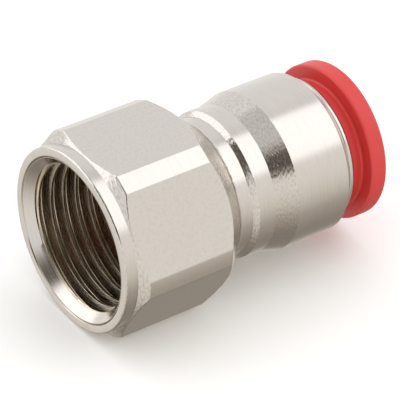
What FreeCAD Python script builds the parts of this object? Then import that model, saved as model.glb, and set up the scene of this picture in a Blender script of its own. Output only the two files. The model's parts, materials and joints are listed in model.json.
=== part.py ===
"""Push-in pneumatic fitting: female pipe thread to push-in tube port, as a parametric FreeCAD document.

The frame: X runs along the fitting from the thread's mouth, at x = 0, to the release ring. The axis of the
thread is the X axis, and the hexagon lies on a flat, with +Z square to the flat on top. Millimetres.
"""
import FreeCAD, Part
import math
import os
import re
import Sketcher

document = FreeCAD.newDocument("push_in_fitting")

# ---------------------------------------------------------------------------------------------------------
# Driving dimensions: one row each, with the value in column B under its alias

DRIVING = [
    ("tube_diameter", 12.0, "outside of the tube that is pushed in"),
    ("hex_across_flats", 24.0, "spanner size"),
    ("corner_trim", 0.66, "radius turned off each corner of the hexagon"),
    ("hex_length", 12.0, "corner's full length between the two turned cones"),
    ("boss_inset", 0.15, "front boss's radius under the hexagon's inner radius"),
    ("boss_length", 1.65, "front boss, from the mouth face to the hexagon"),
    ("front_cone_length", 0.85, "turned cone at the hexagon's front"),
    ("edge_break", 0.25, "rounded outer edge of the boss"),
    ("barrel_round", 0.5, "rounded outer edge of the barrel's end"),
    ("thread_diameter", 20.955, "pipe thread's major diameter"),
    ("thread_pitch", 1.814, "pipe thread's pitch"),
    ("thread_turns", 7.0, "turns of full thread"),
    ("thread_depth_share", 0.640327, "thread depth over pitch for the 55 degree form"),
    ("thread_flat_share", 0.16, "flat at crest and root over pitch"),
    ("mouth_lip", 0.43, "shallow bevel's radius outside the thread's root"),
    ("mouth_bevel_length", 0.28, "shallow bevel around the thread's mouth"),
    ("lead_inset", 0.16, "lead-in cone's wide end inside the thread's root"),
    ("lead_length", 1.4, "cone that leads the male thread in"),
    ("thread_runout", 0.95, "plain bore behind the last turn"),
    ("bottom_cone_length", 1.4, "cone at the bottom of the threaded bore"),
    ("waterway_radius", 4.75, "air passage"),
    ("stop_web", 2.16, "air passage from the bottom cone to the tube's stop"),
    ("neck_depth", 0.6, "neck groove under the shoulder"),
    ("neck_length", 1.9, "floor of the neck groove"),
    ("neck_fillet", 0.9, "hollow corner where the rear cone runs into the neck"),
    ("shoulder_length", 2.45, "shoulder between the neck and the flare"),
    ("flare_length", 3.0, "cone from the shoulder to the barrel"),
    ("barrel_wall", 0.92, "barrel around the collar"),
    ("seal_wall", 1.3, "shoulder around the seal"),
    ("tube_clearance", 0.08, "socket around the tube, on the radius"),
    ("socket_length", 5.2, "plain socket that guides the tube's end"),
    ("seal_section", 2.4, "seal's section diameter"),
    ("seal_squeeze", 0.15, "how far the seal reaches inside the tube's surface"),
    ("seal_clearance", 0.05, "cavity around the seal, on the radius"),
    ("seal_play", 0.2, "cavity's length over the seal's section"),
    ("cartridge_step", 1.18, "cartridge bore's radius over the seal cavity's"),
    ("support_length", 3.0, "ring between the seal and the teeth"),
    ("support_fit", 0.05, "support ring in its bore, on the radius"),
    ("teeth_count", 16.0, "teeth of the grab ring"),
    ("tooth_thickness", 0.35, "grab ring's sheet, along the axis"),
    ("tooth_rim", 1.6, "flat rim of the grab ring, on the radius"),
    ("tooth_drop", 1.5, "how far the teeth slope towards the thread"),
    ("tooth_bite", 0.25, "how far the teeth reach inside the tube's surface"),
    ("tooth_gap", 0.9, "slot between two teeth"),
    ("grab_play", 0.06, "grab ring between its neighbours, and in its bore, on each side"),
    ("collar_length", 6.0, "retaining collar"),
    ("collar_proud", 1.75, "collar outside the barrel"),
    ("collar_round", 0.85, "rounded outer rim of the collar"),
    ("collar_wall", 0.5, "thin wall around the catches"),
    ("lip_length", 2.3, "thick lip that holds the catches"),
    ("lip_clearance", 0.1, "lip around the release ring's neck, on the radius"),
    ("ring_clearance", 0.1, "release ring's bore around the tube, on the radius"),
    ("ring_wall", 2.1, "release ring's neck"),
    ("press_gap", 1.9, "gap under the flange at rest"),
    ("flange_thickness", 2.35, "release ring's flange"),
    ("flange_inset", 0.2, "flange's radius under the barrel's"),
    ("flange_round", 0.4, "rounded edge of the flange"),
    ("catch_height", 0.45, "catches outside the neck"),
    ("catch_clearance", 0.05, "catches behind the lip"),
    ("nose_clearance", 0.15, "nose from the teeth at rest, and from the support ring"),
    ("nose_wall", 0.65, "sleeve's wall at its nose"),
    ("slot_count", 6.0, "slots that let the sleeve spring in"),
    ("slot_width", 1.3, "width of a slot in the sleeve"),
    ("bore_bevel", 0.5, "rounded mouth of the release ring's bore"),
]

sizes = document.addObject("Spreadsheet::Sheet", "sizes")
for row, (alias, number, note) in enumerate(DRIVING, start=1):
    sizes.set(f"A{row}", alias)
    sizes.set(f"B{row}", str(number))
    sizes.set(f"C{row}", note)
    sizes.setAlias(f"B{row}", alias)
document.recompute()


ALIASES = {alias for alias, _, _ in DRIVING}


def of(text):
    """The expression with each driving dimension's alias pointed at the sheet."""
    return re.sub("[a-z_]+", lambda word: ("sizes." if word[0] in ALIASES else "") + word[0], text)


def number_of(text):
    """What an expression comes to now."""
    return float(sizes.evalExpression(of(text)))


def total(*terms):
    """A sum of expressions, as one expression in brackets."""
    return "(" + " + ".join(terms) + ")"


# ---------------------------------------------------------------------------------------------------------
# Radii, from the tube outwards

TUBE = "(tube_diameter / 2)"
SOCKET = total(TUBE, "tube_clearance")
SEAL_MIDDLE = f"({TUBE} - seal_squeeze + seal_section / 2)"
SEAL_CAVITY = f"({TUBE} - seal_squeeze + seal_section + seal_clearance)"
CARTRIDGE = total(SEAL_CAVITY, "cartridge_step")
BARREL = total(CARTRIDGE, "barrel_wall")
SHOULDER = total(SEAL_CAVITY, "seal_wall")
NECK = f"({SHOULDER} - neck_depth)"
RING_BORE = total(TUBE, "ring_clearance")
RING_NECK = total(RING_BORE, "ring_wall")
LIP_BORE = total(RING_NECK, "lip_clearance")
CATCH = total(RING_NECK, "catch_height")
NOSE = total(RING_BORE, "nose_wall")
FLANGE = f"({BARREL} - flange_inset)"

HEX_INNER = "(hex_across_flats / 2)"
HEX_CORNER = "(hex_across_flats / sqrt(3))"
CORNER = f"({HEX_CORNER} - corner_trim)"
BOSS = f"({HEX_INNER} - boss_inset)"
THREAD_ROOT = "(thread_diameter / 2)"
THREAD_CREST = f"({THREAD_ROOT} - thread_depth_share * thread_pitch)"
MOUTH = total(THREAD_ROOT, "mouth_lip")
LEAD = f"({THREAD_ROOT} - lead_inset)"

# Stations along the axis inside the body

THREAD_START = total("mouth_bevel_length", "lead_length")
THREAD_END = f"({THREAD_START} + thread_turns * thread_pitch)"
BORE_BOTTOM = total(THREAD_END, "thread_runout")
WATERWAY_START = total(BORE_BOTTOM, "bottom_cone_length")
TUBE_STOP = total(WATERWAY_START, "stop_web")
SEAL_START = total(TUBE_STOP, "socket_length")
CARTRIDGE_START = total(SEAL_START, "seal_section", "seal_play")
RIM_START = total(CARTRIDGE_START, "support_length", "grab_play")
RIM_END = total(RIM_START, "tooth_thickness")
COLLAR_START = total(RIM_END, "grab_play")
COLLAR_END = total(COLLAR_START, "collar_length")
BARREL_END = f"({COLLAR_END} - collar_proud)"
LIP_START = f"({COLLAR_END} - lip_length)"
FLANGE_START = total(COLLAR_END, "press_gap")
FLANGE_END = total(FLANGE_START, "flange_thickness")

# Stations along the outside of the body

CORNER_START = total("boss_length", "front_cone_length")
CORNER_END = total(CORNER_START, "hex_length")
REAR_CONE_END = f"({CORNER_END} + {CORNER} - {NECK})"
NECK_END = total(REAR_CONE_END, "neck_length")
SHOULDER_START = total(NECK_END, "neck_depth")
FLARE_START = total(SHOULDER_START, "shoulder_length")
FLARE_END = total(FLARE_START, "flare_length")


# ---------------------------------------------------------------------------------------------------------
# Helpers for sketches and for turned features

def origin_plane(body, role):
    """One of a body's own origin planes."""
    return next(feature for feature in body.Origin.OriginFeatures if feature.Role == role)


def new_body(label):
    body = document.addObject("PartDesign::Body", label)
    body.Label = label
    return body


def new_sketch(body, name, role, offset=None):
    """A sketch on an origin plane, moved along the plane's normal by an expression."""
    sketch = body.newObject("Sketcher::SketchObject", name)
    sketch.AttachmentSupport = [(origin_plane(body, role), "")]
    sketch.MapMode = "FlatFace"
    if offset:
        sketch.setExpression("AttachmentOffset.Base.z", of(offset))
    return sketch


def pin_point(sketch, line, end, across, up):
    """Hold one end of a line at two signed distances from the origin. A distance of 0 holds it on an axis."""
    for kind, axis, distance in (("DistanceX", -2, across), ("DistanceY", -1, up)):
        if distance == "0":
            sketch.addConstraint(Sketcher.Constraint("PointOnObject", line, end, axis))
            continue
        index = sketch.addConstraint(Sketcher.Constraint(kind, -1, 1, line, end, number_of(distance)))
        sketch.setExpression(f"Constraints[{index}]", of(distance))


def hold_radius(sketch, curve, radius):
    index = sketch.addConstraint(Sketcher.Constraint("Radius", curve, number_of(radius)))
    sketch.setExpression(f"Constraints[{index}]", of(radius))


def arc_between(start, end, radius, hollow):
    """An arc from start to end. Its centre is on the left of the way from one to the other if it is hollow."""
    half = (end - start) * 0.5
    across = math.sqrt(max(radius ** 2 - half.Length ** 2, 0))
    left = FreeCAD.Vector(-half.y, half.x, 0).normalize()
    centre = start + half + left * (across if hollow else -across)
    first, last = (start, end) if hollow else (end, start)
    angles = [math.atan2(place.y - centre.y, place.x - centre.x) for place in (first, last)]
    return Part.ArcOfCircle(Part.Circle(centre, FreeCAD.Vector(0, 0, 1), radius), *angles)


def draw_outline(sketch, points, rounds=None, hollows=None):
    """A closed chain of lines through points, each a pair of expressions, listed clockwise.

    rounds and hollows give the radius of the arc that follows a point instead of a line, by the point's place
    in the list.
    """
    rounds = rounds or {}
    hollows = hollows or {}
    places = [FreeCAD.Vector(number_of(across), number_of(up), 0) for across, up in points]
    edges = []
    for step, (start, end) in enumerate(zip(places, places[1:] + places[:1])):
        radius = rounds.get(step) or hollows.get(step)
        if not radius:
            edges.append((sketch.addGeometry(Part.LineSegment(start, end)), 1, 2))
            continue
        arc = sketch.addGeometry(arc_between(start, end, number_of(radius), step in hollows))
        edges.append((arc, 1, 2) if step in hollows else (arc, 2, 1))
    for (edge, _, leaving), (following, arriving, _) in zip(edges, edges[1:] + edges[:1]):
        sketch.addConstraint(Sketcher.Constraint("Coincident", edge, leaving, following, arriving))
    for (edge, arriving, _), (across, up) in zip(edges, points):
        pin_point(sketch, edge, arriving, across, up)
    for step, radius in {**rounds, **hollows}.items():
        hold_radius(sketch, edges[step][0], radius)


def turn(body, name, points, cut=False, rounds=None, hollows=None):
    """Turn an outline of (station, radius) pairs about the X axis, as added or as removed material."""
    sketch = new_sketch(body, name + "_outline", "XY_Plane")
    draw_outline(sketch, points, rounds, hollows)
    kind = "PartDesign::Groove" if cut else "PartDesign::Revolution"
    feature = body.newObject(kind, name)
    feature.Profile = sketch
    feature.ReferenceAxis = (sketch, ["H_Axis"])
    feature.Angle = 360
    return feature


def polar(body, name, feature, count):
    """Repeat a feature evenly about the X axis."""
    pattern = body.newObject("PartDesign::PolarPattern", name)
    pattern.Originals = [feature]
    pattern.Axis = (feature.Profile[0], ["N_Axis"])
    pattern.Angle = 360
    pattern.setExpression("Occurrences", of(count))
    body.Tip = pattern
    return pattern


def must_cut(before, feature, what):
    """A cut that points away from the solid removes nothing and says nothing, so its volume is compared."""
    document.recompute()
    if not feature.Shape.Volume < before - 0.01:
        raise RuntimeError(f"{what} removed nothing")
    return feature.Shape.Volume


# ---------------------------------------------------------------------------------------------------------
# Body: one turning from hexagon bar, bored and threaded from the front and bored from the back

body = new_body("body")
hollow_reach = "(neck_fillet * (sqrt(2) - 1))"
blank = turn(body, "blank", [
    ("0", "0"),
    ("0", f"({BOSS} - edge_break)"),
    ("edge_break", BOSS),
    ("boss_length", BOSS),
    (CORNER_START, CORNER),
    (CORNER_END, CORNER),
    (f"({REAR_CONE_END} - {hollow_reach} / sqrt(2))", f"({NECK} + {hollow_reach} / sqrt(2))"),
    (f"({REAR_CONE_END} + {hollow_reach})", NECK),
    (NECK_END, NECK),
    (SHOULDER_START, SHOULDER),
    (FLARE_START, SHOULDER),
    (FLARE_END, BARREL),
    (f"({BARREL_END} - barrel_round)", BARREL),
    (BARREL_END, f"({BARREL} - barrel_round)"),
    (BARREL_END, "0"),
], rounds={1: "edge_break", 12: "barrel_round"}, hollows={6: "neck_fillet"})
document.recompute()
volume = blank.Shape.Volume

# The flats: everything outside the hexagon comes off between the boss and the neck
flats_sketch = new_sketch(body, "flats_outline", "YZ_Plane", REAR_CONE_END)
half_side = "(hex_across_flats / 2 / sqrt(3))"
draw_outline(flats_sketch, [
    (half_side, HEX_INNER),
    (f"(-{half_side})", HEX_INNER),
    (f"(-{HEX_CORNER})", "0"),
    (f"(-{half_side})", f"(-{HEX_INNER})"),
    (half_side, f"(-{HEX_INNER})"),
    (HEX_CORNER, "0"),
])
bar = flats_sketch.addGeometry(
    Part.Circle(FreeCAD.Vector(), FreeCAD.Vector(0, 0, 1), number_of(f"1.2 * {HEX_CORNER}"))
)
flats_sketch.addConstraint(Sketcher.Constraint("Coincident", bar, 3, -1, 1))
hold_radius(flats_sketch, bar, f"(1.2 * {HEX_CORNER})")
flats = body.newObject("PartDesign::Pocket", "flats")
flats.Profile = flats_sketch
flats.setExpression("Length", of(f"{REAR_CONE_END} - boss_length / 2"))
volume = must_cut(volume, flats, "the hexagon's flats")

bore = turn(body, "bore", [
    ("0", "0"),
    ("0", MOUTH),
    ("mouth_bevel_length", LEAD),
    (THREAD_START, THREAD_CREST),
    (BORE_BOTTOM, THREAD_CREST),
    (WATERWAY_START, "waterway_radius"),
    (TUBE_STOP, "waterway_radius"),
    (TUBE_STOP, SOCKET),
    (SEAL_START, SOCKET),
    (SEAL_START, SEAL_CAVITY),
    (CARTRIDGE_START, SEAL_CAVITY),
    (CARTRIDGE_START, CARTRIDGE),
    (BARREL_END, CARTRIDGE),
    (BARREL_END, "0"),
], cut=True)
volume = must_cut(volume, bore, "the bore")

# The thread: grooves of the 55 degree form, one to each pitch, from the lead-in cone on
groove_middle = f"({THREAD_START} + thread_pitch / 2)"
half_root = "(thread_flat_share * thread_pitch / 2)"
half_open = f"(thread_pitch / 2 - {half_root})"
thread = turn(body, "thread_groove", [
    (f"({groove_middle} - {half_open})", THREAD_CREST),
    (f"({groove_middle} - {half_root})", THREAD_ROOT),
    (f"({groove_middle} + {half_root})", THREAD_ROOT),
    (f"({groove_middle} + {half_open})", THREAD_CREST),
], cut=True)
volume = must_cut(volume, thread, "the first thread groove")
turns = body.newObject("PartDesign::LinearPattern", "thread_grooves")
turns.Originals = [thread]
turns.Direction = (thread.Profile[0], ["H_Axis"])
turns.setExpression("Length", of("(thread_turns - 1) * thread_pitch"))
turns.setExpression("Occurrences", of("thread_turns"))
body.Tip = turns
volume = must_cut(volume, turns, "the other thread grooves")

# ---------------------------------------------------------------------------------------------------------
# Tube seal: a rubber ring that the tube squeezes outwards

tube_seal = new_body("tube_seal")
seal_sketch = new_sketch(tube_seal, "seal_section_outline", "XY_Plane")
seal_station = f"({SEAL_START} + (seal_section + seal_play) / 2)"
section_middle = FreeCAD.Vector(number_of(seal_station), number_of(SEAL_MIDDLE), 0)
section = seal_sketch.addGeometry(
    Part.Circle(section_middle, FreeCAD.Vector(0, 0, 1), number_of("seal_section / 2"))
)
pin_point(seal_sketch, section, 3, seal_station, SEAL_MIDDLE)
hold_radius(seal_sketch, section, "(seal_section / 2)")
seal_turn = tube_seal.newObject("PartDesign::Revolution", "seal_ring")
seal_turn.Profile = seal_sketch
seal_turn.ReferenceAxis = (seal_sketch, ["H_Axis"])
seal_turn.Angle = 360

# ---------------------------------------------------------------------------------------------------------
# Support ring: closes the seal's cavity and leaves a cone for the teeth and the pressed nose to move into

support_ring = new_body("support_ring")
support_outer = f"({CARTRIDGE} - support_fit)"
tooth_bend = f"({CARTRIDGE} - tooth_rim)"
throat_end = f"({CARTRIDGE_START} + support_length / 5)"
support_end = total(CARTRIDGE_START, "support_length")
turn(support_ring, "support", [
    (CARTRIDGE_START, f"({SOCKET} + tube_clearance)"),
    (CARTRIDGE_START, support_outer),
    (support_end, support_outer),
    (support_end, f"({tooth_bend} + grab_play)"),
    (throat_end, f"({NOSE} + nose_clearance)"),
    (throat_end, f"({SOCKET} + tube_clearance)"),
])

# ---------------------------------------------------------------------------------------------------------
# Grab ring: a flat rim with teeth that slope inwards, towards the thread

grab_ring = new_body("grab_ring")
tooth_tip = f"({TUBE} - tooth_bite)"
grab = turn(grab_ring, "grab_sheet", [
    (RIM_START, f"({CARTRIDGE} - grab_play)"),
    (RIM_END, f"({CARTRIDGE} - grab_play)"),
    (RIM_END, tooth_bend),
    (f"({RIM_END} - tooth_drop)", tooth_tip),
    (f"({RIM_START} - tooth_drop)", tooth_tip),
    (RIM_START, tooth_bend),
])
document.recompute()
grab_volume = grab.Shape.Volume
gap_sketch = new_sketch(grab_ring, "tooth_gap_outline", "YZ_Plane", RIM_END)
draw_outline(gap_sketch, [
    ("(-tooth_gap / 2)", f"({tooth_tip} / 2)"),
    ("(tooth_gap / 2)", f"({tooth_tip} / 2)"),
    ("(tooth_gap / 2)", tooth_bend),
    ("(-tooth_gap / 2)", tooth_bend),
])
gap_cut = grab_ring.newObject("PartDesign::Pocket", "tooth_gap")
gap_cut.Profile = gap_sketch
gap_cut.setExpression("Length", of("2 * (tooth_drop + tooth_thickness)"))
grab_volume = must_cut(grab_volume, gap_cut, "the first gap between teeth")
teeth = polar(grab_ring, "tooth_gaps", gap_cut, "teeth_count")
must_cut(grab_volume, teeth, "the other gaps between teeth")

# ---------------------------------------------------------------------------------------------------------
# Retaining collar: pressed into the barrel. Its inner end holds the grab ring, its lip the release ring.

retaining_collar = new_body("retaining_collar")
collar_inner = f"({CARTRIDGE} - collar_wall)"
turn(retaining_collar, "collar", [
    (COLLAR_START, collar_inner),
    (COLLAR_START, CARTRIDGE),
    (f"({COLLAR_END} - collar_round)", CARTRIDGE),
    (COLLAR_END, f"({CARTRIDGE} - collar_round)"),
    (COLLAR_END, LIP_BORE),
    (LIP_START, LIP_BORE),
    (LIP_START, collar_inner),
], rounds={2: "collar_round"})

# ---------------------------------------------------------------------------------------------------------
# Release ring: a flange to press, a neck through the lip, and a slotted sleeve with catches and a nose

release_ring = new_body("release_ring")
catch_back = f"({LIP_START} - catch_clearance)"
catch_front = f"({catch_back} - catch_height)"

# The teeth's outer face, as a station for a radius on it, sets where the nose ends
tooth_slope = f"(tooth_drop / ({tooth_bend} - {tooth_tip}))"
nose_end = f"({RIM_END} - {tooth_slope} * ({tooth_bend} - {NOSE}) + nose_clearance)"
ring = turn(release_ring, "ring", [
    (nose_end, RING_BORE),
    (nose_end, NOSE),
    (catch_front, CATCH),
    (catch_back, CATCH),
    (catch_back, RING_NECK),
    (FLANGE_START, RING_NECK),
    (FLANGE_START, f"({FLANGE} - flange_round)"),
    (f"({FLANGE_START} + flange_round)", FLANGE),
    (f"({FLANGE_END} - flange_round)", FLANGE),
    (FLANGE_END, f"({FLANGE} - flange_round)"),
    (FLANGE_END, f"({RING_BORE} + bore_bevel)"),
    (f"({FLANGE_END} - bore_bevel)", RING_BORE),
], rounds={6: "flange_round", 8: "flange_round", 10: "bore_bevel"})
document.recompute()
ring_volume = ring.Shape.Volume
slot_end = f"({catch_back} + lip_length / 3)"
slot_sketch = new_sketch(release_ring, "slot_outline", "YZ_Plane", slot_end)
draw_outline(slot_sketch, [
    ("(-slot_width / 2)", f"({RING_BORE} / 2)"),
    ("(slot_width / 2)", f"({RING_BORE} / 2)"),
    ("(slot_width / 2)", f"({CATCH} + slot_width)"),
    ("(-slot_width / 2)", f"({CATCH} + slot_width)"),
])
slot = release_ring.newObject("PartDesign::Pocket", "slot")
slot.Profile = slot_sketch
slot.setExpression("Length", of(f"{slot_end} - {nose_end} + slot_width"))
ring_volume = must_cut(ring_volume, slot, "the first slot")
slots = polar(release_ring, "slots", slot, "slot_count")
must_cut(ring_volume, slots, "the other slots")

# ---------------------------------------------------------------------------------------------------------
# Check everything, then write one file for each piece

document.recompute()
pieces = [body, tube_seal, support_ring, grab_ring, retaining_collar, release_ring]
for thing in document.Objects:
    bad = {"Invalid", "Error"} & set(thing.State)
    if bad:
        raise RuntimeError(f"{thing.Name} is {sorted(bad)}")
for piece in pieces:
    shape = piece.Shape
    if shape.isNull() or not shape.isValid() or len(shape.Solids) != 1:
        raise RuntimeError(f"{piece.Label} is not one valid solid")

os.makedirs("parts", exist_ok=True)
for piece in pieces:
    piece.Shape.exportStep(f"parts/{piece.Label}.step")
    box = piece.Shape.BoundBox
    print(f"{piece.Label}: x {box.XMin:.2f} to {box.XMax:.2f}, across {box.YLength:.2f} by {box.ZLength:.2f},"
          f" volume {piece.Shape.Volume:.1f}")
print(f"overall length {number_of(FLANGE_END):.2f}, tube's stop at {number_of(TUBE_STOP):.2f}")
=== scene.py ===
# %% [markdown]
# # Push-in pneumatic fitting
#
# The real object is turned from a brass hexagon bar and plated with nickel: a female pipe thread at one end,
# a round barrel at the other, and inside the barrel the parts that grip a plastic tube, with a red ring to
# let it go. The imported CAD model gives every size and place. This script makes the pieces again with finer
# meshes, gives them their finishes, and sets up a small studio.

# %% Load the frame
import bmesh
import bpy
import json
import math
import numpy as np
from mathutils import Matrix, Vector


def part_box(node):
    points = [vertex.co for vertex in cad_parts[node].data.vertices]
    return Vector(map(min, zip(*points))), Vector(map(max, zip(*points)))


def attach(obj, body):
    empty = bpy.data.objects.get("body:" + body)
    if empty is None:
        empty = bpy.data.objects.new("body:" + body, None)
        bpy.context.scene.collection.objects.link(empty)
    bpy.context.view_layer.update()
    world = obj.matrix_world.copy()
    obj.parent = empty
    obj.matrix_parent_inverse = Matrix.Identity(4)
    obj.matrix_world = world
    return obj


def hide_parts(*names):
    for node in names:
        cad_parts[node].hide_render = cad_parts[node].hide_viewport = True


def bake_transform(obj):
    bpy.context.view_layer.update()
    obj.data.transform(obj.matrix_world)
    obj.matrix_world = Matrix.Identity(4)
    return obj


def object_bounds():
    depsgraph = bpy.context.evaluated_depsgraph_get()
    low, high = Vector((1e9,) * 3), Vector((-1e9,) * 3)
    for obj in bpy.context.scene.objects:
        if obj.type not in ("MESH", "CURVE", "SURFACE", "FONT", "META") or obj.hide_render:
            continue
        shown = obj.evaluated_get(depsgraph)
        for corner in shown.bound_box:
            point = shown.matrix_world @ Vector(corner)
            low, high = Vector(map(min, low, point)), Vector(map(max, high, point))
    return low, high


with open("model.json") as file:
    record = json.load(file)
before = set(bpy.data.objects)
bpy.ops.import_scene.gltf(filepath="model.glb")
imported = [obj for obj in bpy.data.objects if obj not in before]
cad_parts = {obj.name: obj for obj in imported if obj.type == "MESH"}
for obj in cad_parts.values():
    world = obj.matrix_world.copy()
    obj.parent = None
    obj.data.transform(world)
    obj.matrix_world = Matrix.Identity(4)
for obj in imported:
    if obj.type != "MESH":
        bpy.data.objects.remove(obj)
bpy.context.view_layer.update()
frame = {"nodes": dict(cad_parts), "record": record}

# %% [markdown]
# Pieces are drawn in millimetres, because Blender's edit tools merge and snap at a tenth of a millimetre when
# a unit is a metre, which is coarse for a thread. Each finished piece is brought to metres in one place. The
# frame gives the ends of every piece and the sizes that other parts have to fit.

# %% Sizes from the frame, in millimetres
MM = 0.001
mounts = {mount["name"]: mount for mount in frame["record"]["mounts"]}
START, END, RIM = {}, {}, {}
for node in frame["nodes"]:
    low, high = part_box(node)
    START[node], END[node], RIM[node] = low.x / MM, high.x / MM, high.z / MM
CREST = mounts["female_thread"]["dims"]["r_mm"]
PORT = mounts["tube_port"]["dims"]["r_mm"]
FLAT = mounts["wrench_flat"]["pos_m"][2] / MM
STOP = mounts["tube_stop"]["pos_m"][0] / MM
print(f"thread crest {CREST}, tube port {PORT}, {2 * FLAT} across flats, tube stop {STOP}")
print("ends", END)
print("rims", RIM)

# %% [markdown]
# Everything on a lathe is an outline turned about an axis, so the tools here do the same: an outline is drawn
# as a chain of edges by extruding one point from corner to corner, and then spun round the fitting's axis, X.
# A corner can have a radius, which becomes a short arc of edges. That gives each visible edge the small round
# that a real turned edge has, and a highlight runs along it.

# %% Drawing and spinning an outline
COLUMNS = 138     # faces round each turned piece: a multiple of 6, with no line near a corner of the hexagon
ARC_STEPS = 4     # edges in the round of a corner
MERGE = 0.0005    # points nearer than this are one point
CUT = 0.0001      # a point this near to a cutting plane lies on it


def start_clean():
    """Leaves whatever was being edited and deselects everything."""
    if bpy.context.object and bpy.context.object.mode != "OBJECT":
        bpy.ops.object.mode_set(mode="OBJECT")
    bpy.ops.object.select_all(action="DESELECT")


def rounded(corners):
    """The points of an outline whose corners are (x, radius) or (x, radius, round)."""
    points = []
    for place, corner in enumerate(corners):
        here = Vector(corner[:2])
        if len(corner) < 3:
            points.append(here)
            continue
        before = (Vector(corners[place - 1][:2]) - here).normalized()
        after = (Vector(corners[(place + 1) % len(corners)][:2]) - here).normalized()
        half = before.angle(after) / 2
        middle = here + (before + after).normalized() * corner[2] / math.sin(half)
        first = here + before * corner[2] / math.tan(half) - middle
        last = here + after * corner[2] / math.tan(half) - middle
        for step in range(ARC_STEPS + 1):
            points.append(middle + Vector(first.lerp(last, step / ARC_STEPS)).normalized() * corner[2])
    return points


def draw_outline(name, points):
    """A new piece that is one chain of edges in the X-Z plane, through (x, radius) points."""
    start_clean()
    bpy.ops.mesh.primitive_plane_add(size=1)
    piece = bpy.context.object
    piece.name = name
    bpy.ops.object.mode_set(mode="EDIT")
    bpy.ops.mesh.merge(type="CENTER")
    bpy.ops.transform.translate(value=(points[0][0], 0, points[0][1]))
    for before, after in zip(points, points[1:]):
        move = (after[0] - before[0], 0, after[1] - before[1])
        bpy.ops.mesh.extrude_region_move(TRANSFORM_OT_translate={"value": move})
    return piece


def turn(name, corners, columns=COLUMNS, closed=True):
    """A piece spun from an outline. It is left in edit mode, all selected."""
    piece = draw_outline(name, rounded(corners))
    bpy.ops.mesh.select_all(action="SELECT")
    if closed:
        bpy.ops.mesh.edge_face_add()
        bpy.ops.mesh.delete(type="ONLY_FACE")
    bpy.ops.mesh.select_all(action="SELECT")
    bpy.ops.mesh.spin(steps=columns, angle=math.tau, center=(0, 0, 0), axis=(1, 0, 0))
    bpy.ops.mesh.select_all(action="SELECT")
    bpy.ops.mesh.remove_doubles(threshold=MERGE)
    bpy.ops.mesh.normals_make_consistent(inside=False)
    return piece


# %% [markdown]
# The edit tools act on what is selected, so faces and edges are picked by a test of their place. Every piece
# ends the same way: it is brought to metres, shaded smooth except at its real edges, tied to the body of the
# mechanism that it moves with if it has one, and the CAD solid that it stands for is hidden.

# %% Picking and finishing
SMOOTH_ANGLE = math.radians(38)


def pick(piece, kind, test):
    """Selects the vertices, edges or faces of the piece in edit mode that pass the test, and nothing else."""
    mesh = bmesh.from_edit_mesh(piece.data)
    for sequence in (mesh.faces, mesh.edges, mesh.verts):
        for element in sequence:
            element.select = False
    chosen = [element for element in getattr(mesh, kind) if test(element)]
    for element in chosen:
        element.select_set(True)
    bmesh.update_edit_mesh(piece.data)
    return len(chosen)


def finish_piece(piece, body, node):
    """Brings a piece to metres, shades it, hides its CAD node and, unless body is None, ties it to its body.
    """
    start_clean()
    piece.select_set(True)
    bpy.context.view_layer.objects.active = piece
    piece.scale = (MM, MM, MM)
    bpy.ops.object.transform_apply(location=True, rotation=True, scale=True)
    bpy.ops.object.shade_smooth_by_angle(angle=SMOOTH_ANGLE)
    bpy.ops.object.modifier_add(type="WEIGHTED_NORMAL")
    piece.modifiers[-1].keep_sharp = True
    bpy.ops.object.modifier_apply(modifier=piece.modifiers[-1].name)
    if body:
        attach(piece, body)
    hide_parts(node)
    check = bmesh.new()
    check.from_mesh(piece.data)
    loose = sum(not edge.is_manifold for edge in check.edges)
    volume = check.calc_volume() / MM**3
    print(f"{piece.name}: {len(check.faces)} faces, {loose} open edges, volume {volume:.0f} mm3")
    check.free()


# %% [markdown]
# ## The thread
#
# A tapped thread is one groove that winds in from the mouth. A texture or a stack of rings would not show its
# slope, so it is modelled: the outline of one pitch of the 55 degree pipe thread, and a Screw modifier that
# turns it eleven times. The crest is a narrow flat, left by the bore that was drilled before tapping, and the
# root is round. The ends of the winding are then cut off square, at the mouth and at the floor of the bore.

# %% Thread: the outline of one pitch, turned with a Screw modifier
PITCH = 1.814
ROOT = 20.955 / 2
FLANK = math.radians(27.5)
FLAT_HALF = PITCH / 4 - (ROOT - CREST) / 2 * math.tan(FLANK)
CREST_ROUND, ROOT_ROUND = 0.04, 0.24
LEAD_START, LEAD_END = 0.1, 1.15      # the cone at the mouth
UNDERCUT_END = 1.25
THREAD_FLOOR = 15.328
TURNS, PHASE = 11, 0.81               # the phase says where round the mouth the groove comes in

one_pitch = rounded([
    (0, CREST),
    (FLAT_HALF, CREST, CREST_ROUND),
    (PITCH / 2 - FLAT_HALF, ROOT, ROOT_ROUND),
    (PITCH / 2 + FLAT_HALF, ROOT, ROOT_ROUND),
    (PITCH - FLAT_HALF, CREST, CREST_ROUND),
    (PITCH, CREST),
])
before_mouth = Vector((PITCH * (1 + PHASE), 0))
thread = draw_outline("fitting_body", [point - before_mouth for point in one_pitch])
bpy.ops.object.mode_set(mode="OBJECT")
bpy.ops.object.modifier_add(type="SCREW")
screw = thread.modifiers[-1]
screw.axis = "X"
screw.angle = math.tau
screw.screw_offset = PITCH
screw.iterations = TURNS
screw.steps = screw.render_steps = COLUMNS
screw.use_merge_vertices = True
screw.merge_threshold = MERGE
bpy.ops.object.modifier_apply(modifier=screw.name)
bpy.ops.object.mode_set(mode="EDIT")
bpy.ops.mesh.select_all(action="SELECT")
bpy.ops.mesh.remove_doubles(threshold=MERGE)
for station, drop in ((LEAD_START, "inner"), (THREAD_FLOOR, "outer"), (LEAD_END, ""), (UNDERCUT_END, "")):
    bpy.ops.mesh.select_all(action="SELECT")
    bpy.ops.mesh.bisect(
        plane_co=(station, 0, 0), plane_no=(1, 0, 0), threshold=CUT,
        clear_inner=drop == "inner", clear_outer=drop == "outer",
    )
print("thread", len(bmesh.from_edit_mesh(thread.data).verts), "points")

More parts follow.
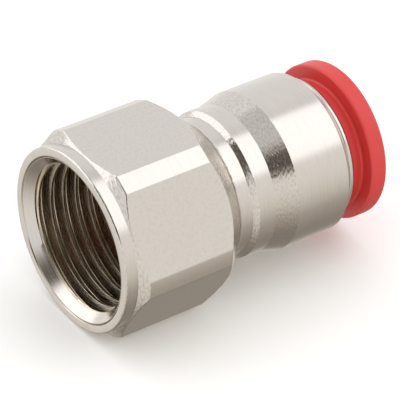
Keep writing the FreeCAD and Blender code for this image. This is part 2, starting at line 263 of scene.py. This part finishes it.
# %% [markdown]
# The groove has to come out of a smooth cone at the mouth, which leads the pipe in, and die away at the
# bottom, where the tap stopped. The points keep their angle and their station, and only their distance from
# the axis is set, to whichever is wider there, the groove or the cone. The cone drops to the crest in a short
# undercut, so the first turn starts behind a clean edge.

# %% Thread: the cone at the mouth, and the groove's fading end
LEAD_RIM, LEAD_THROAT = 10.52, 9.55
UNDERCUT_RUN = 0.3
GROOVE_LAST, GROOVE_GONE = 13.9, 14.9


def smooth_step(value, low, high):
    share = np.clip((value - low) / (high - low), 0, 1)
    return share * share * (3 - 2 * share)


bpy.ops.object.mode_set(mode="OBJECT")
points = np.zeros(len(thread.data.vertices) * 3, np.float32)
thread.data.vertices.foreach_get("co", points)
points = points.reshape(-1, 3)
station = points[:, 0]
distance = np.hypot(points[:, 1], points[:, 2])
depth = (station > LEAD_END + 10 * CUT) * (1 - smooth_step(station, GROOVE_LAST, GROOVE_GONE))
cone = np.interp(station, (LEAD_START, LEAD_END, LEAD_END + UNDERCUT_RUN), (LEAD_RIM, LEAD_THROAT, CREST))
wider = np.maximum(CREST + (distance - CREST) * depth, cone)
points[:, 1:] *= (wider / distance)[:, None]
thread.data.vertices.foreach_set("co", points.ravel())
print(f"thread from radius {wider.min():.3f} to {wider.max():.3f} mm")

# %% [markdown]
# ## The body
#
# The rest of the body is one outline: out across the flat face of the mouth, over the corners of the hexagon,
# down the cone into the neck, along the barrel, and back through the stepped bores. A fine V groove parts the
# cone of the mouth from its flat face and shows as a dark line. The outline stays open between the mouth and
# the floor of the thread, where the thread's own mesh closes it.

# %% Body: the turned blank
CORNER_RADIUS = 13.1964
MOUTH, MOUTH_RUN = FLAT - 0.15, 1.65
HEX_FRONT, HEX_BACK = 2.5, 14.5
NECK, SHOULDER, BARREL = 9.0, 9.6, 10.4
NECK_RUN, STEP_RUN, SHOULDER_RUN, FLARE_RUN = 1.9, 0.6, 2.45, 3.0
CARTRIDGE, SEAL_BORE, SOCKET, WATERWAY = 9.48, 8.3, 6.08, 4.75
SEAL_ROOM, FLOOR_RUN = 0.1, 1.4
FILL_OUT, FILL_IN = 10.55, 9.15     # where the blank stops short of the thread, at the mouth and the floor
GROOVE_BOTTOM, GROOVE_DEPTH, GROOVE_WIDTH = 0.1, 0.3, 0.24
BARREL_END = END["body"]
neck_start = HEX_BACK + CORNER_RADIUS - NECK
step_start = neck_start + NECK_RUN
shoulder_start = step_start + STEP_RUN
flare_start = shoulder_start + SHOULDER_RUN
body = turn("blank", [
    (LEAD_START, FILL_OUT),
    (LEAD_START + GROOVE_DEPTH, FILL_OUT + GROOVE_BOTTOM),
    (0, FILL_OUT + GROOVE_WIDTH, 0.02),
    (0, MOUTH, 0.25),
    (MOUTH_RUN, MOUTH),
    (HEX_FRONT, CORNER_RADIUS),
    (HEX_BACK, CORNER_RADIUS),
    (neck_start, NECK, 0.9),
    (step_start, NECK, 0.12),
    (shoulder_start, SHOULDER, 0.1),
    (flare_start, SHOULDER, 0.15),
    (flare_start + FLARE_RUN, BARREL, 0.2),
    (BARREL_END, BARREL, 0.25),
    (BARREL_END, CARTRIDGE, 0.08),
    (START["support_ring"], CARTRIDGE),
    (START["support_ring"], SEAL_BORE),
    (START["tube_seal"] - SEAL_ROOM, SEAL_BORE, 0.1),
    (START["tube_seal"] - SEAL_ROOM, SOCKET, 0.1),
    (STOP, SOCKET),
    (STOP, WATERWAY, 0.15),
    (THREAD_FLOOR + FLOOR_RUN, WATERWAY, 0.3),
    (THREAD_FLOOR, FILL_IN),
], closed=False)
print("blank", len(bmesh.from_edit_mesh(body.data).verts), "points, neck from", round(neck_start, 3))

# %% [markdown]
# The hexagon is made as it is from the bar: the turned blank is larger than the flats, and six planes cut it.
# That leaves the curved edges where the flats run out into the cones, which are hard to get right any other
# way. A small bevel then breaks those edges, as tumbling and plating do.

# %% Body: six planes cut the hexagon
EDGE_BREAK, EDGE_SEGMENTS = 0.1, 3
RUN_OUT_FRONT, RUN_OUT_BACK = 0.9, 1.4    # how far the flats' curved edges reach into the cones
SHARP = math.radians(14)
for side in range(6):
    across = Vector((0, -math.sin(side * math.pi / 3), math.cos(side * math.pi / 3)))
    bpy.ops.mesh.select_all(action="SELECT")
    bpy.ops.mesh.bisect(
        plane_co=across * FLAT, plane_no=across, use_fill=True, clear_outer=True, threshold=CUT,
    )


def on_hexagon(edge):
    middle = (edge.verts[0].co + edge.verts[1].co) / 2
    if not HEX_FRONT - RUN_OUT_FRONT < middle.x < HEX_BACK + RUN_OUT_BACK:
        return False
    outside = math.hypot(middle.y, middle.z) > FLAT - EDGE_BREAK / 2
    return outside and len(edge.link_faces) == 2 and edge.calc_face_angle() > SHARP


edges = pick(body, "edges", on_hexagon)
bpy.ops.mesh.bevel(
    offset=EDGE_BREAK, offset_type="OFFSET", segments=EDGE_SEGMENTS, affect="EDGES", clamp_overlap=False,
)
print("hexagon's edges", edges)

# %% [markdown]
# Thread and blank are two meshes that meet in a ring at the mouth and another at the floor. They are joined
# into one object, and each ring is filled between its two rims, so the body is one closed wall.

# %% Body: thread and blank joined into one wall
start_clean()
body.select_set(True)
thread.select_set(True)
bpy.context.view_layer.objects.active = thread
bpy.ops.object.join()
body = thread
bpy.ops.object.mode_set(mode="EDIT")
for station in (LEAD_START, THREAD_FLOOR):
    rim = pick(body, "edges", lambda edge: edge.is_boundary and all(
        abs(vertex.co.x - station) < 10 * CUT for vertex in edge.verts))
    bpy.ops.mesh.fill(use_beauty=False)
    print("rims at", station, "have", rim, "edges")
bpy.ops.mesh.select_all(action="SELECT")
bpy.ops.mesh.remove_doubles(threshold=2 * CUT)
bpy.ops.mesh.normals_make_consistent(inside=False)
finish_piece(body, "housing", "body")

# %% [markdown]
# ## The release ring
#
# A red moulded ring: a broad flange to press with the fingers, a neck that slides through the collar, and a
# sleeve with catches that snap behind the collar's lip. It is turned like the body.

# %% Release ring: the turned shape
PRESS_GAP = 1.9
FLANGE, FLANGE_START = RIM["release_ring"], END["retaining_collar"] + PRESS_GAP
RING_NECK, CATCH, NOSE = 8.2, 8.65, 6.75
LIP_START = END["retaining_collar"] - 2.3
CATCH_RUN, CATCH_GAP = 0.45, 0.05
catch_end = LIP_START - CATCH_GAP
ring = turn("release_button", [
    (START["release_ring"], PORT, 0.1),
    (START["release_ring"], NOSE, 0.15),
    (catch_end - CATCH_RUN, CATCH, 0.1),
    (catch_end, CATCH, 0.08),
    (catch_end, RING_NECK, 0.1),
    (FLANGE_START, RING_NECK, 0.35),
    (FLANGE_START, FLANGE, 0.3),
    (END["release_ring"], FLANGE, 0.4),
    (END["release_ring"], PORT, 0.5),
])
bpy.ops.object.mode_set(mode="OBJECT")

# %% [markdown]
# Six slots let the sleeve spring inwards when it is snapped into the collar. Cutting them face by face would
# leave ragged ends, so three bars, each long enough for two slots, are taken away by a Boolean modifier.

# %% Release ring: six slots in the sleeve
SLOT_WIDTH, BAR = 1.3, 10
slot_end = LIP_START + 0.7
for turns in range(3):
    start_clean()
    bpy.ops.mesh.primitive_cube_add(size=1, rotation=(turns * math.pi / 3, 0, 0))
    bar = bpy.context.object
    bar.location.x = slot_end - BAR / 2
    bar.scale = (BAR, SLOT_WIDTH, 4 * FLANGE)
    bpy.ops.object.transform_apply(location=True, rotation=True, scale=True)
    ring.modifiers.new("slots", "BOOLEAN")
    ring.modifiers[-1].operation = "DIFFERENCE"
    ring.modifiers[-1].object = bar
    bpy.context.view_layer.objects.active = ring
    bpy.ops.object.modifier_apply(modifier="slots")
    bpy.data.objects.remove(bar)
finish_piece(ring, "release", "release_ring")

# %% [markdown]
# ## The collar
#
# The collar is a plated ring pressed into the barrel. A groove runs round it where the barrel ends, and after
# the groove comes a rounded bead that stands out behind the red flange. The groove is cut as deep as it is
# wide, because it has to show as a thin dark line, and its faces take the darker plate as painted shade.

# %% Collar
COLLAR_WALL, NECK_ROOM = 0.5, 0.1
GROOVE_START, GROOVE_END, BEAD_START = BARREL_END - 0.3, BARREL_END + 0.45, BARREL_END + 0.9
collar = turn("barrel_collar", [
    (START["retaining_collar"], CARTRIDGE - COLLAR_WALL, 0.1),
    (START["retaining_collar"], CARTRIDGE, 0.1),
    (GROOVE_START, CARTRIDGE, 0.05),
    (GROOVE_START + 0.2, CARTRIDGE - COLLAR_WALL, 0.1),
    (GROOVE_END, CARTRIDGE - COLLAR_WALL, 0.1),
    (BEAD_START, CARTRIDGE - 0.03, 0.15),
    (END["retaining_collar"], CARTRIDGE - 0.1, 0.7),
    (END["retaining_collar"], RING_NECK + NECK_ROOM, 0.15),
    (LIP_START, RING_NECK + NECK_ROOM, 0.1),
    (LIP_START, CARTRIDGE - COLLAR_WALL),
])
finish_piece(collar, "housing", "retaining_collar")

# %% [markdown]
# ## The seal and its support
#
# Inside the barrel a rubber ring seals on the tube: a circle spun round the axis. A brass ring keeps it in
# its bore. The brass ring opens in a cone with the slope of the teeth in front of it, so that they can bend
# back into it when the red ring is pressed.

# %% Seal and support ring
SECTION_STEPS = 24
section = (END["tube_seal"] - START["tube_seal"]) / 2
seal_middle = Vector((START["tube_seal"] + section, RIM["tube_seal"] - section))
seal = turn("o_ring", [
    seal_middle + section * Vector((math.cos(angle), math.sin(angle)))
    for angle in np.arange(SECTION_STEPS) * math.tau / SECTION_STEPS
])
finish_piece(seal, "housing", "tube_seal")

THROAT, CONE_RISE, CONE_RUN, CONE_MOUTH = PORT + 0.35, 1.45, 1.05, 0.3
support = turn("seal_support", [
    (START["support_ring"], THROAT, 0.1),
    (START["support_ring"], RIM["support_ring"], 0.15),
    (END["support_ring"], RIM["support_ring"], 0.1),
    (END["support_ring"], THROAT + CONE_RISE + CONE_MOUTH),
    (START["support_ring"] + CONE_RUN, THROAT + CONE_RISE, 0.2),
])
finish_piece(support, "housing", "support_ring")

# %% [markdown]
# ## The grab ring
#
# A stamped washer of spring steel with sixteen teeth that bite into the tube. The sheet's outer face is spun
# as a line, the gaps between the teeth are deleted, and a Solidify modifier gives the sheet its thickness.
# Pressing the red ring bends the teeth of the real washer. Here the washer is tied to no body, and its teeth
# have many rows of faces along their length.

# %% Grab ring
TEETH, SHEET = 16, 0.35
TOOTH_BEND, TOOTH_TIP = CARTRIDGE - 1.6, PORT - 0.35
GAP_COLUMNS, TOOTH_COLUMNS = 2, 7
TOOTH_LEAN, TOOTH_ROWS, FIRST_ROW = 1.5, 17, 0.2
grab = turn("tooth_washer", [
    (END["grab_ring"], RIM["grab_ring"]),
    (END["grab_ring"], TOOTH_BEND, 0.3),
    *((END["grab_ring"] - TOOTH_LEAN * down, TOOTH_BEND + (TOOTH_TIP - TOOTH_BEND) * down)
      for down in np.linspace(FIRST_ROW, 1, TOOTH_ROWS)),
], columns=TEETH * (GAP_COLUMNS + TOOTH_COLUMNS), closed=False)


def in_gap(face):
    middle = face.calc_center_median()
    column = math.atan2(middle.y, middle.z) / math.tau * TEETH % 1 * (GAP_COLUMNS + TOOTH_COLUMNS)
    return math.hypot(middle.y, middle.z) < TOOTH_BEND and column < GAP_COLUMNS


print("faces in the gaps", pick(grab, "faces", in_gap))
bpy.ops.mesh.delete(type="FACE")
bpy.ops.object.mode_set(mode="OBJECT")
bpy.ops.object.modifier_add(type="SOLIDIFY")
grab.modifiers[-1].thickness = SHEET
grab.modifiers[-1].offset = -1
bpy.ops.object.modifier_apply(modifier=grab.modifiers[-1].name)
finish_piece(grab, None, "grab_ring")
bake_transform(grab)

# %% [markdown]
# ## Finishes
#
# Every finish is made of nodes. One small function adds a node, gives it its values and links it, so a
# material reads from top to bottom like a recipe. Colours are written as on a colour card and turned to
# linear light.

# %% Helpers for materials
def colour(code):
    """The linear colour of an sRGB hex code."""
    parts = [int(code[place:place + 2], 16) / 255 for place in (0, 2, 4)]
    return (*[part / 12.92 if part <= 0.04045 else ((part + 0.055) / 1.055) ** 2.4 for part in parts], 1)


def add(tree, kind, inputs=None, **settings):
    """Adds a node with its settings. An input is a value, or another node's output to link to."""
    node = tree.nodes.new("ShaderNode" + kind)
    for name, value in settings.items():
        setattr(node, name, value)
    for name, value in (inputs or {}).items():
        if isinstance(value, bpy.types.NodeSocket):
            tree.links.new(value, node.inputs[name])
        else:
            node.inputs[name].default_value = value
    return node


def new_material(name):
    material = bpy.data.materials.new(name)
    material.use_nodes = True
    material.node_tree.nodes.clear()
    return material, material.node_tree


# %% [markdown]
# ### Nickel plate
#
# Bright nickel is a warm grey metal. The plating is thin, so it shows what the brass under it went through,
# and one noise gives each surface its tone, its roughness and its height.
#
# - The hexagon's flats are as the bar was drawn, smooth with an even grain. The real grain is under 0.1 mm
#   and would not show, so it is drawn at 0.4 mm.
# - Cylinders were turned with a fine feed, about 0.12 mm a turn, and shine along their length.
# - Cones were cut by a form tool, which chatters and leaves short ripples round the piece. The real ones are
#   finer than 0.1 mm, and are drawn 0.13 mm wide and 0.5 mm long, so that they break up the edges of a
#   reflection. This noise has no finer octaves, because those would only blur it.
# - The tapped thread, and the groove in the collar, hold lines along the cut, and their tone is painted
#   darker as painted shade for the inside of the bore and the depth of the groove.

# %% Nickel plate: four surfaces
NICKEL, NICKEL_DARK = "D4CDC6", "CEC7BF"
TONE_LOW, TONE_HIGH = 0.35, 0.55       # noise values that take the dark and the light tone
GRAIN_LOW, GRAIN_HIGH = 0.3, 0.7       # noise values that take the least and the most roughness
DRAWN_GRAIN = 0.4


def round_axis(tree, width, length):
    """Coordinates that run along the axis and round it, scaled to make a pattern width by length in mm."""
    place = add(tree, "TexCoord").outputs["Object"]
    axes = add(tree, "SeparateXYZ", {0: place})
    angle = add(tree, "Math", {0: axes.outputs["Y"], 1: axes.outputs["Z"]}, operation="ARCTAN2")
    along = add(tree, "Math", {0: axes.outputs["X"], 1: 1 / (width * MM)}, operation="MULTIPLY")
    around = add(tree, "Math", {0: angle.outputs[0], 1: BARREL / length}, operation="MULTIPLY")
    return add(tree, "CombineXYZ", {0: along.outputs[0], 1: around.outputs[0]}).outputs[0]


def fine_grain(tree):
    place = add(tree, "TexCoord").outputs["Object"]
    return add(tree, "VectorMath", {0: place, "Scale": 1 / (DRAWN_GRAIN * MM)}, operation="SCALE").outputs[0]


def nickel(name, vector_of, roughness, spread, depth, light=NICKEL, dark=NICKEL_DARK, detail=3):
    """Nickel plate whose tone, roughness and height, depth in mm, follow one noise."""
    material, tree = new_material(name)
    vector = vector_of(tree)
    grain = add(tree, "TexNoise", {"Vector": vector, "Scale": 1, "Detail": detail, "Roughness": 0.7})
    share = add(tree, "MapRange", {"Value": grain.outputs["Fac"], 1: TONE_LOW, 2: TONE_HIGH})
    tone = add(tree, "Mix", {"Factor": share.outputs[0], 6: colour(dark), 7: colour(light)}, data_type="RGBA")
    rough = add(tree, "MapRange", {"Value": grain.outputs["Fac"], 1: GRAIN_LOW, 2: GRAIN_HIGH,
                                   3: roughness - spread, 4: roughness + spread})
    height = add(tree, "Bump", {"Height": grain.outputs["Fac"], "Strength": 1, "Distance": depth * MM})
    shader = add(tree, "BsdfPrincipled", {
        "Base Color": tone.outputs[2], "Metallic": 1, "Roughness": rough.outputs[0],
        "Normal": height.outputs[0]})
    add(tree, "OutputMaterial", {"Surface": shader.outputs["BSDF"]})
    return material


plate_flat = nickel("nickel_plate_on_drawn_bar", fine_grain, 0.22, 0.04, 0.01)
plate_turned = nickel(
    "nickel_plate_on_fine_turning", lambda tree: round_axis(tree, 0.12, 4), 0.2, 0.04, 0.001)
plate_ripple = nickel(
    "nickel_plate_on_form_cut", lambda tree: round_axis(tree, 0.13, 0.5), 0.14, 0.05, 0.025,
    dark="C8C0B7", detail=0)
# This plate's tones are darker than the others: painted shade for the bore of the thread and the collar's
# groove.
plate_painted_bore_shade = nickel(
    "nickel_plate_in_tapped_thread", lambda tree: round_axis(tree, 0.08, 6), 0.25, 0.08, 0.006,
    light="DDD0BC", dark="8A7D6B")

# %% [markdown]
# ### Acetal, rubber, spring steel and brass
#
# Acetal comes out of its mould with a satin skin, so the red ring has a broad soft highlight. Nitrile rubber
# is nearly black and dull. Stamped spring steel is a cool bright grey, and the turned brass inside has no
# plating and stays yellow. All four have only a fine even grain. The real grain is too fine to show, and is
# drawn 0.3 to 0.4 mm wide.

# %% The other finishes
ROUGHNESS_SPREAD, BUMP_STRENGTH = 0.06, 0.5


def plain(name, code, metallic, roughness, size, depth):
    """A finish of one colour with a fine even grain, its size and depth in mm."""
    material, tree = new_material(name)
    place = add(tree, "TexCoord").outputs["Object"]
    grain = add(tree, "TexNoise", {"Vector": place, "Scale": 1 / (size * MM), "Detail": 3})
    rough = add(tree, "MapRange", {"Value": grain.outputs["Fac"], 1: GRAIN_LOW, 2: GRAIN_HIGH,
                                   3: roughness - ROUGHNESS_SPREAD, 4: roughness + ROUGHNESS_SPREAD})
    height = add(tree, "Bump", {
        "Height": grain.outputs["Fac"], "Strength": BUMP_STRENGTH, "Distance": depth * MM})
    shader = add(tree, "BsdfPrincipled", {
        "Base Color": colour(code), "Metallic": metallic, "Roughness": rough.outputs[0],
        "Normal": height.outputs[0]})
    add(tree, "OutputMaterial", {"Surface": shader.outputs["BSDF"]})
    return material


acetal = plain("red_acetal_moulded", "D03A38", 0, 0.42, 0.4, 0.004)
rubber = plain("black_nitrile_rubber", "17171A", 0, 0.55, 0.3, 0.01)
steel = plain("spring_steel_stamped", "B5B5B8", 1, 0.25, 0.3, 0.004)
brass = plain("brass_turned", "C9A15C", 1, 0.28, 0.3, 0.004)

# %% [markdown]
# Each piece gets its finish. The body has four, and its faces choose by how they lie: the large flats that
# stand off the axis, the outer slopes, and the inner wall between mouth and floor, which takes the darker
# plate as painted shade. The rest is fine turning.

# %% Finishes on the pieces
FLAT_AREA = 20 * MM * MM
LEVEL, SLOPE_LOW, SLOPE_HIGH = 0.01, 0.15, 0.95    # how much of a face's normal lies along the axis
END_ROUND = 0.6
CREST_ROOM = 0.1
GROOVE_HALF, GROOVE_FLOOR = 0.5, CARTRIDGE - COLLAR_WALL - 0.05


def cover(piece, *materials):
    piece.data.materials.clear()
    for material in materials:
        piece.data.materials.append(material)


cover(body, plate_turned, plate_flat, plate_ripple, plate_painted_bore_shade)
cover(ring, acetal)
cover(collar, plate_turned, plate_painted_bore_shade)
cover(seal, rubber)
cover(support, brass)
cover(grab, steel)
for face in body.data.polygons:
    middle, tilt = face.center / MM, abs(face.normal.x)
    radius = math.hypot(middle.y, middle.z)
    outward = face.normal.y * middle.y + face.normal.z * middle.z > 0
    if outward and tilt < LEVEL and face.area > FLAT_AREA:
        face.material_index = 1
    elif outward and SLOPE_LOW < tilt < SLOPE_HIGH and middle.x < BARREL_END - END_ROUND:
        face.material_index = 2
    # The inner wall of the thread takes the darker plate: painted shade for the inside of the bore.
    elif not outward and LEAD_END < middle.x < THREAD_FLOOR and radius > CREST - CREST_ROOM:
        face.material_index = 3

# The faces in the collar's groove take the darker plate: painted shade in the groove.
for face in collar.data.polygons:
    middle = face.center / MM
    if abs(middle.x - BARREL_END) < GROOVE_HALF and math.hypot(middle.y, middle.z) > GROOVE_FLOOR:
        face.material_index = 1
print("faces by finish", np.bincount([face.material_index for face in body.data.polygons]))

# %% [markdown]
# ## Camera
#
# A long lens from above and to the left of the mouth, turned a little about its own axis. Places are in
# millimetres, and the lens is in millimetres too, on a sensor 36 mm wide.

# %% Camera
AZIMUTH, ELEVATION, ROLL = math.radians(-37.507), math.radians(36.427), math.radians(2.891)
AIM, DISTANCE = Vector((18.055, -1.523, -0.112)), 375.16
LENS, SENSOR = 276.0444, 36
back = Vector((
    math.sin(AZIMUTH) * math.cos(ELEVATION), -math.cos(AZIMUTH) * math.cos(ELEVATION), math.sin(ELEVATION)))
level = Vector((math.cos(AZIMUTH), math.sin(AZIMUTH), 0))
right = level * math.cos(ROLL) + back.cross(level) * math.sin(ROLL)
facing = Matrix((right, back.cross(right), back)).transposed()
start_clean()
bpy.ops.object.camera_add(location=(AIM + back * DISTANCE) * MM, rotation=facing.to_euler())
camera = bpy.context.object
camera.data.lens = LENS
camera.data.sensor_width = SENSOR
camera.data.clip_start = 0.01
bpy.context.scene.camera = camera
print("camera at", [round(value, 4) for value in camera.location])

# %% [markdown]
# ## Studio
#
# The piece stands on white paper, which takes its shadow. The paper is hidden from mirror rays and from
# diffuse rays: a small white floor mirrored in the metal would bleach it from below, where a real table
# shows the metal the dim room beyond its edge. What the metal mirrors comes from the world alone.

# %% Floor
FLOOR_SIZE, FIBRE = 4, 2.5
start_clean()
bpy.ops.mesh.primitive_plane_add(size=FLOOR_SIZE, location=(0, 0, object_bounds()[0][2]))
floor = bpy.context.object
floor.name = "floor"
paper, tree = new_material("white_paper")
place = add(tree, "TexCoord").outputs["Object"]
fibres = add(tree, "TexNoise", {"Vector": place, "Scale": 1 / (FIBRE * MM), "Detail": 2})
rough = add(tree, "MapRange", {"Value": fibres.outputs["Fac"], 3: 0.75, 4: 0.95})
shader = add(tree, "BsdfPrincipled", {"Base Color": colour("FBFBFA"), "Roughness": rough.outputs[0]})
add(tree, "OutputMaterial", {"Surface": shader.outputs["BSDF"]})
cover(floor, paper)
floor.visible_glossy = floor.visible_diffuse = False

# %% [markdown]
# The world is the studio: white walls, a large bright panel to the right and one behind on the left, and
# between them the dark gap where the camera stands. Metal shows nothing but what is round it, so these give
# it its shape. Each panel is a window in two directions with soft edges, laid over the walls in turn. Angles
# are in degrees: the azimuth runs round from the front, the elevation runs up, and the tilt turns about X.

# %% World: bright panels and a dark gap
world = bpy.data.worlds.new("studio")
world.use_nodes = True
bpy.context.scene.world = world
tree = world.node_tree
tree.nodes.clear()
axes = add(tree, "SeparateXYZ", {0: add(tree, "TexCoord").outputs["Generated"]})
forward = add(tree, "Math", {0: axes.outputs["Y"], 1: -1}, operation="MULTIPLY")
angles = {}
for name, operation, inputs in (
    ("azimuth", "ARCTAN2", {0: axes.outputs["X"], 1: forward.outputs[0]}),
    ("elevation", "ARCSINE", {0: axes.outputs["Z"]}),
    ("tilt", "ARCTAN2", {0: forward.outputs[0], 1: axes.outputs["Z"]}),
):
    angle = add(tree, "Math", inputs, operation=operation)
    angles[name] = add(tree, "Math", {0: angle.outputs[0]}, operation="DEGREES").outputs[0]

WALL, PANEL, CEILING, GAP = 1.05, 1.75, 0.8, 0.14
PANELS = {    # brightness, then windows as (coordinate, low, high, soft edge below, soft edge above)
    "ceiling": (CEILING, [(angles["elevation"], 62, 91, 12, 1)]),
    "gap": (GAP, [(angles["azimuth"], -96, 16, 10, 12), (angles["elevation"], 30, 46, 16, 24)]),
    "right": (PANEL, [(axes.outputs["X"], 0.36, 0.9, 0.08, 0.1), (angles["tilt"], -4, 52, 8, 12)]),
    "left": (PANEL, [(angles["azimuth"], -175, -112, 10, 8), (angles["elevation"], 4, 54, 6, 10)]),
}
room, masks = WALL, {}
for name, (brightness, windows) in PANELS.items():
    masks[name] = 1
    for value, low, high, soft_low, soft_high in windows:
        rise = add(tree, "MapRange", {"Value": value, 1: low - soft_low, 2: low},
                   interpolation_type="SMOOTHSTEP")
        fall = add(tree, "MapRange", {"Value": value, 1: high, 2: high + soft_high, 3: 1, 4: 0},
                   interpolation_type="SMOOTHSTEP")
        inside = add(tree, "Math", {0: rise.outputs[0], 1: fall.outputs[0]}, operation="MULTIPLY")
        both = add(tree, "Math", {0: masks[name], 1: inside.outputs[0]}, operation="MULTIPLY")
        masks[name] = both.outputs[0]
    room = add(tree, "Mix", {"Factor": masks[name], 2: room, 3: brightness}).outputs[0]
print("panels", list(PANELS))

# %% [markdown]
# Below the horizon the metal mirrors the table and the room past it, which get darker and warmer the steeper
# the metal looks down. A colour ramp gives the tone for how far down a direction points. Directions to the
# back and to the left count as less far down, because the table reaches further there.

# %% World: tone by how far down a direction points
BACK_LIFT, SIDE_LIFT, LIFT_FROM = 0.6, 0.75, 0.2
UP_MOST, DOWN_MOST = -1.05, 1.05
TONES = (
    (UP_MOST, (0.955, 0.965, 0.985)),
    (-0.5, (0.955, 0.965, 0.985)),
    (-0.25, (1, 0.995, 0.97)),
    (0.03, (0.94, 0.93, 0.90)),
    (0.28, (0.84, 0.81, 0.76)),
    (0.40, (0.745, 0.715, 0.665)),
    (0.53, (0.62, 0.585, 0.535)),
    (0.60, (0.53, 0.49, 0.44)),
    (0.73, (0.435, 0.40, 0.355)),
    (0.80, (0.385, 0.35, 0.31)),
    (0.86, (0.32, 0.29, 0.26)),
    (DOWN_MOST, (0.27, 0.25, 0.23)),
)
behind = add(tree, "MapRange", {
    "Value": axes.outputs["Y"], 1: LIFT_FROM, 2: 1, 4: BACK_LIFT * (1 - LIFT_FROM)})
beside = add(tree, "MapRange", {
    "Value": axes.outputs["X"], 1: -LIFT_FROM, 2: -1, 4: SIDE_LIFT * (1 - LIFT_FROM)})
raised = add(tree, "Math", {0: behind.outputs[0], 1: beside.outputs[0]}, operation="ADD")
height = add(tree, "Math", {0: raised.outputs[0], 1: axes.outputs["Z"]}, operation="ADD")
lowness = add(tree, "Math", {0: height.outputs[0], 1: -1}, operation="MULTIPLY")
share = add(tree, "MapRange", {"Value": lowness.outputs[0], 1: UP_MOST, 2: DOWN_MOST})
ramp = add(tree, "ValToRGB", {0: share.outputs[0]})
for place, tone in TONES[1:-1]:
    stop = ramp.color_ramp.elements.new((place - UP_MOST) / (DOWN_MOST - UP_MOST))
    stop.color = (*tone, 1)
ramp.color_ramp.elements[0].color = (*TONES[0][1], 1)
ramp.color_ramp.elements[-1].color = (*TONES[-1][1], 1)
print("tones", len(ramp.color_ramp.elements))

# %% [markdown]
# Three kinds of ray see three rooms. The camera sees plain white. Mirror rays see the panels and tones. Matt
# surfaces, such as the paper and the red ring, are lit mostly by an even brightness, as by a light tent, so
# that the dark gap casts no stain on them.

# %% World: what each kind of ray sees
WHITE, GAP_TINT = (1, 1, 1, 1), (1, 0.92, 0.8, 1)
MATT_SHARE, MATT_LIGHT, CAMERA_LIGHT = 0.75, 1.45, 1.0
light = add(tree, "LightPath").outputs
matt = add(tree, "Math", {0: light["Is Diffuse Ray"], 1: MATT_SHARE}, operation="MULTIPLY")
lit = add(tree, "Mix", {"Factor": matt.outputs[0], 2: room, 3: MATT_LIGHT})
strength = add(tree, "Mix", {"Factor": light["Is Camera Ray"], 2: lit.outputs[0], 3: CAMERA_LIGHT})
warm = add(tree, "Mix", {"Factor": masks["gap"], 6: ramp.outputs["Color"], 7: GAP_TINT}, data_type="RGBA")
tone = add(tree, "Mix", {"Factor": light["Is Camera Ray"], 6: warm.outputs[2], 7: WHITE}, data_type="RGBA")
background = add(tree, "Background", {"Color": tone.outputs[2], "Strength": strength.outputs[0]})
add(tree, "OutputWorld", {"Surface": background.outputs["Background"]})
bpy.context.scene.view_settings.view_transform = "Standard"
